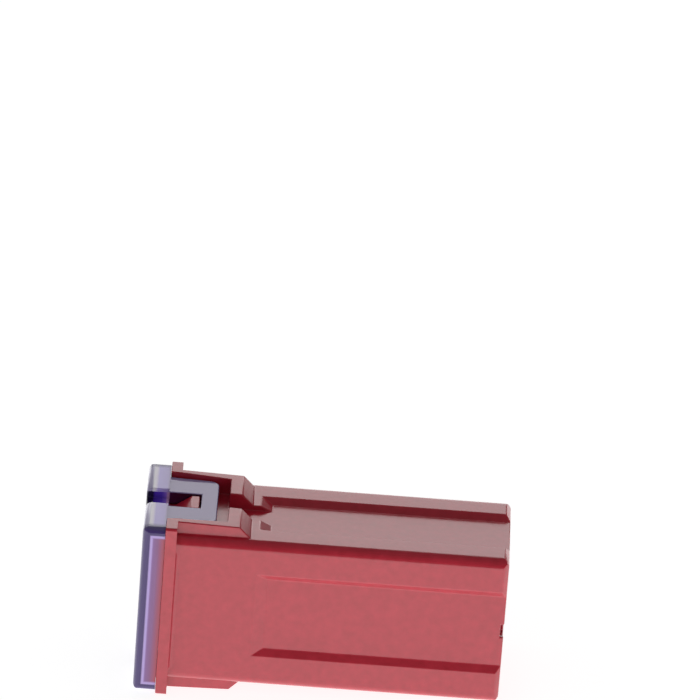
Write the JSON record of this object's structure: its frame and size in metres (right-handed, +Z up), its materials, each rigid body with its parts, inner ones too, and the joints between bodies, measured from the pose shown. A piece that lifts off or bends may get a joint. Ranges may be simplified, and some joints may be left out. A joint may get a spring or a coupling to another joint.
{
  "type": "fuse",
  "caption": "Red cartridge fuse with blade sockets in its open end and a clear violet window cap snapped on over a flange.",
  "frame": {"origin": "middle of the ground under the fuse, as it lies on a clip face", "axes": "+X from the cap to the open end, +Y across the broad faces, +Z up from clip face to clip face"},
  "size_m": [0.0306, 0.0122, 0.0157],
  "materials": {
    "housing": "red moulded thermoplastic, satin with a fine grain",
    "cap": "clear violet moulded plastic, glossy",
    "element": "tin-plated copper alloy strip, satin",
    "tin_rivet": "dull bare tin"
  },
  "bodies": {
    "root": {"housing": "housing", "cap": "cap", "element": "element", "tin_rivet": "tin_rivet"}
  },
  "joints": []
}
